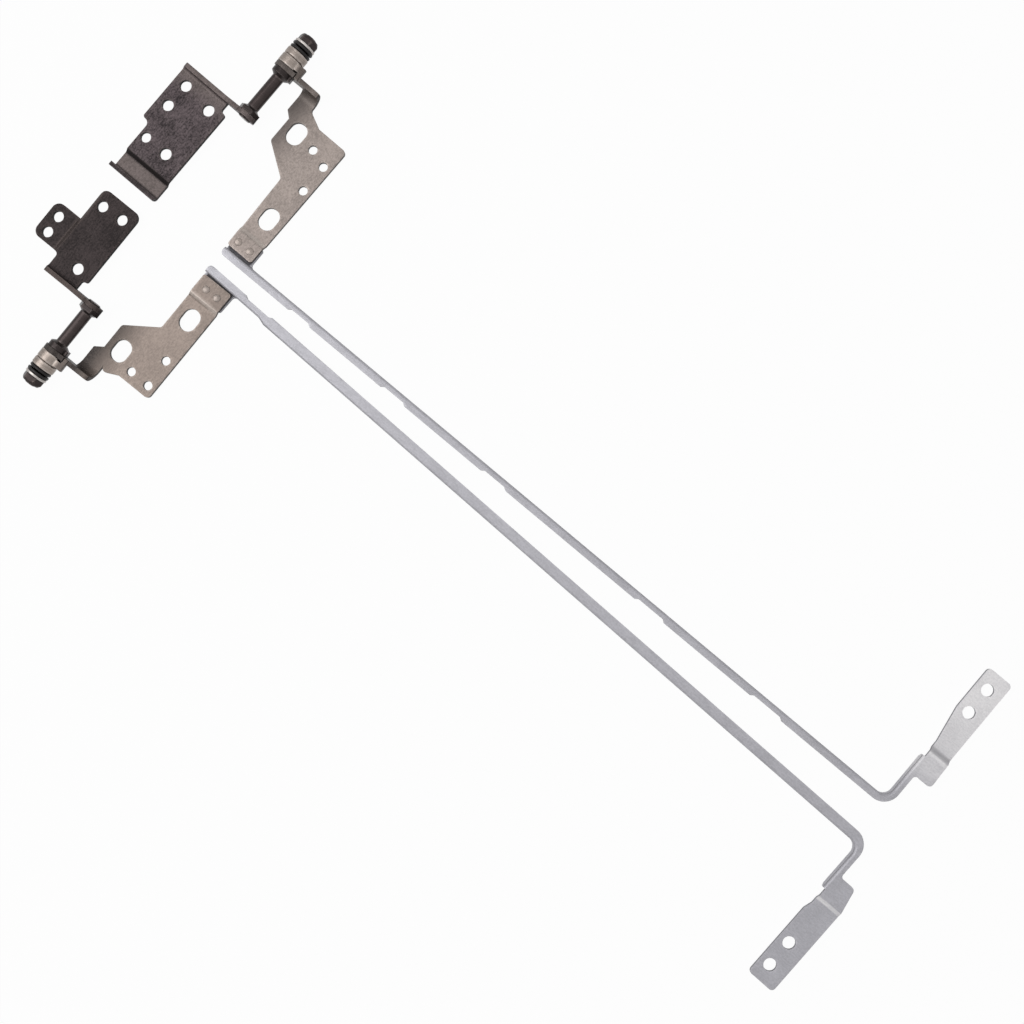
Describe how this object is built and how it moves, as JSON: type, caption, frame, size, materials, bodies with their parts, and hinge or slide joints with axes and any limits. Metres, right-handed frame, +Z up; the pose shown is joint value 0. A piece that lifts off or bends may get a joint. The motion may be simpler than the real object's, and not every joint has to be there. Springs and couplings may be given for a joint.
{
  "type": "pair of laptop hinges",
  "caption": "Right and left friction hinges of a laptop lid: screw-down base brackets, shafts with disc-spring stacks, lid brackets and long angle straps with screw feet.",
  "frame": {"origin": "on the table under the middle of the pair", "axes": "+X from the hinge axes along the straps to the feet, +Z up from the table, +Y towards the right hinge"},
  "size_m": [0.2628, 0.1102, 0.006],
  "materials": {
    "dark_steel": "satin",
    "shaft_steel": "satin",
    "lid_steel": "satin",
    "strap_steel": "satin",
    "rivet_steel": "satin",
    "ring_nickel": "polished",
    "spring_black": "satin",
    "washer_steel": "satin",
    "nut_steel": "satin"
  },
  "bodies": {
    "lids": {"right_lid_bracket": "lid_steel", "right_strap": "strap_steel", "right_strap_rivets": "rivet_steel", "right_tabbed_washer": "ring_nickel", "left_lid_bracket": "lid_steel", "left_strap": "strap_steel", "left_strap_rivets": "rivet_steel", "left_tabbed_washer": "ring_nickel"},
    "right_base": {"right_base_bracket": "dark_steel", "right_shaft": "shaft_steel", "right_pressure_ring": "ring_nickel", "right_disc_springs": "spring_black", "right_end_washer": "washer_steel", "right_nut": "nut_steel"},
    "left_base": {"left_base_bracket": "dark_steel", "left_shaft": "shaft_steel", "left_pressure_ring": "ring_nickel", "left_disc_springs": "spring_black", "left_end_washer": "washer_steel", "left_nut": "nut_steel"}
  },
  "joints": [
    {"name": "right_hinge", "type": "hinge", "parent": "lids", "child": "right_base", "pos_m": [-0.10814, 0.04435, 0.00305], "axis": [0.0087, 1, 0], "range_deg": [0, 180]},
    {"name": "left_hinge", "type": "hinge", "parent": "lids", "child": "left_base", "pos_m": [-0.1071, -0.04435, 0.00305], "axis": [-0.0131, 0.9999, 0], "range_deg": [0, 180]}
  ]
}
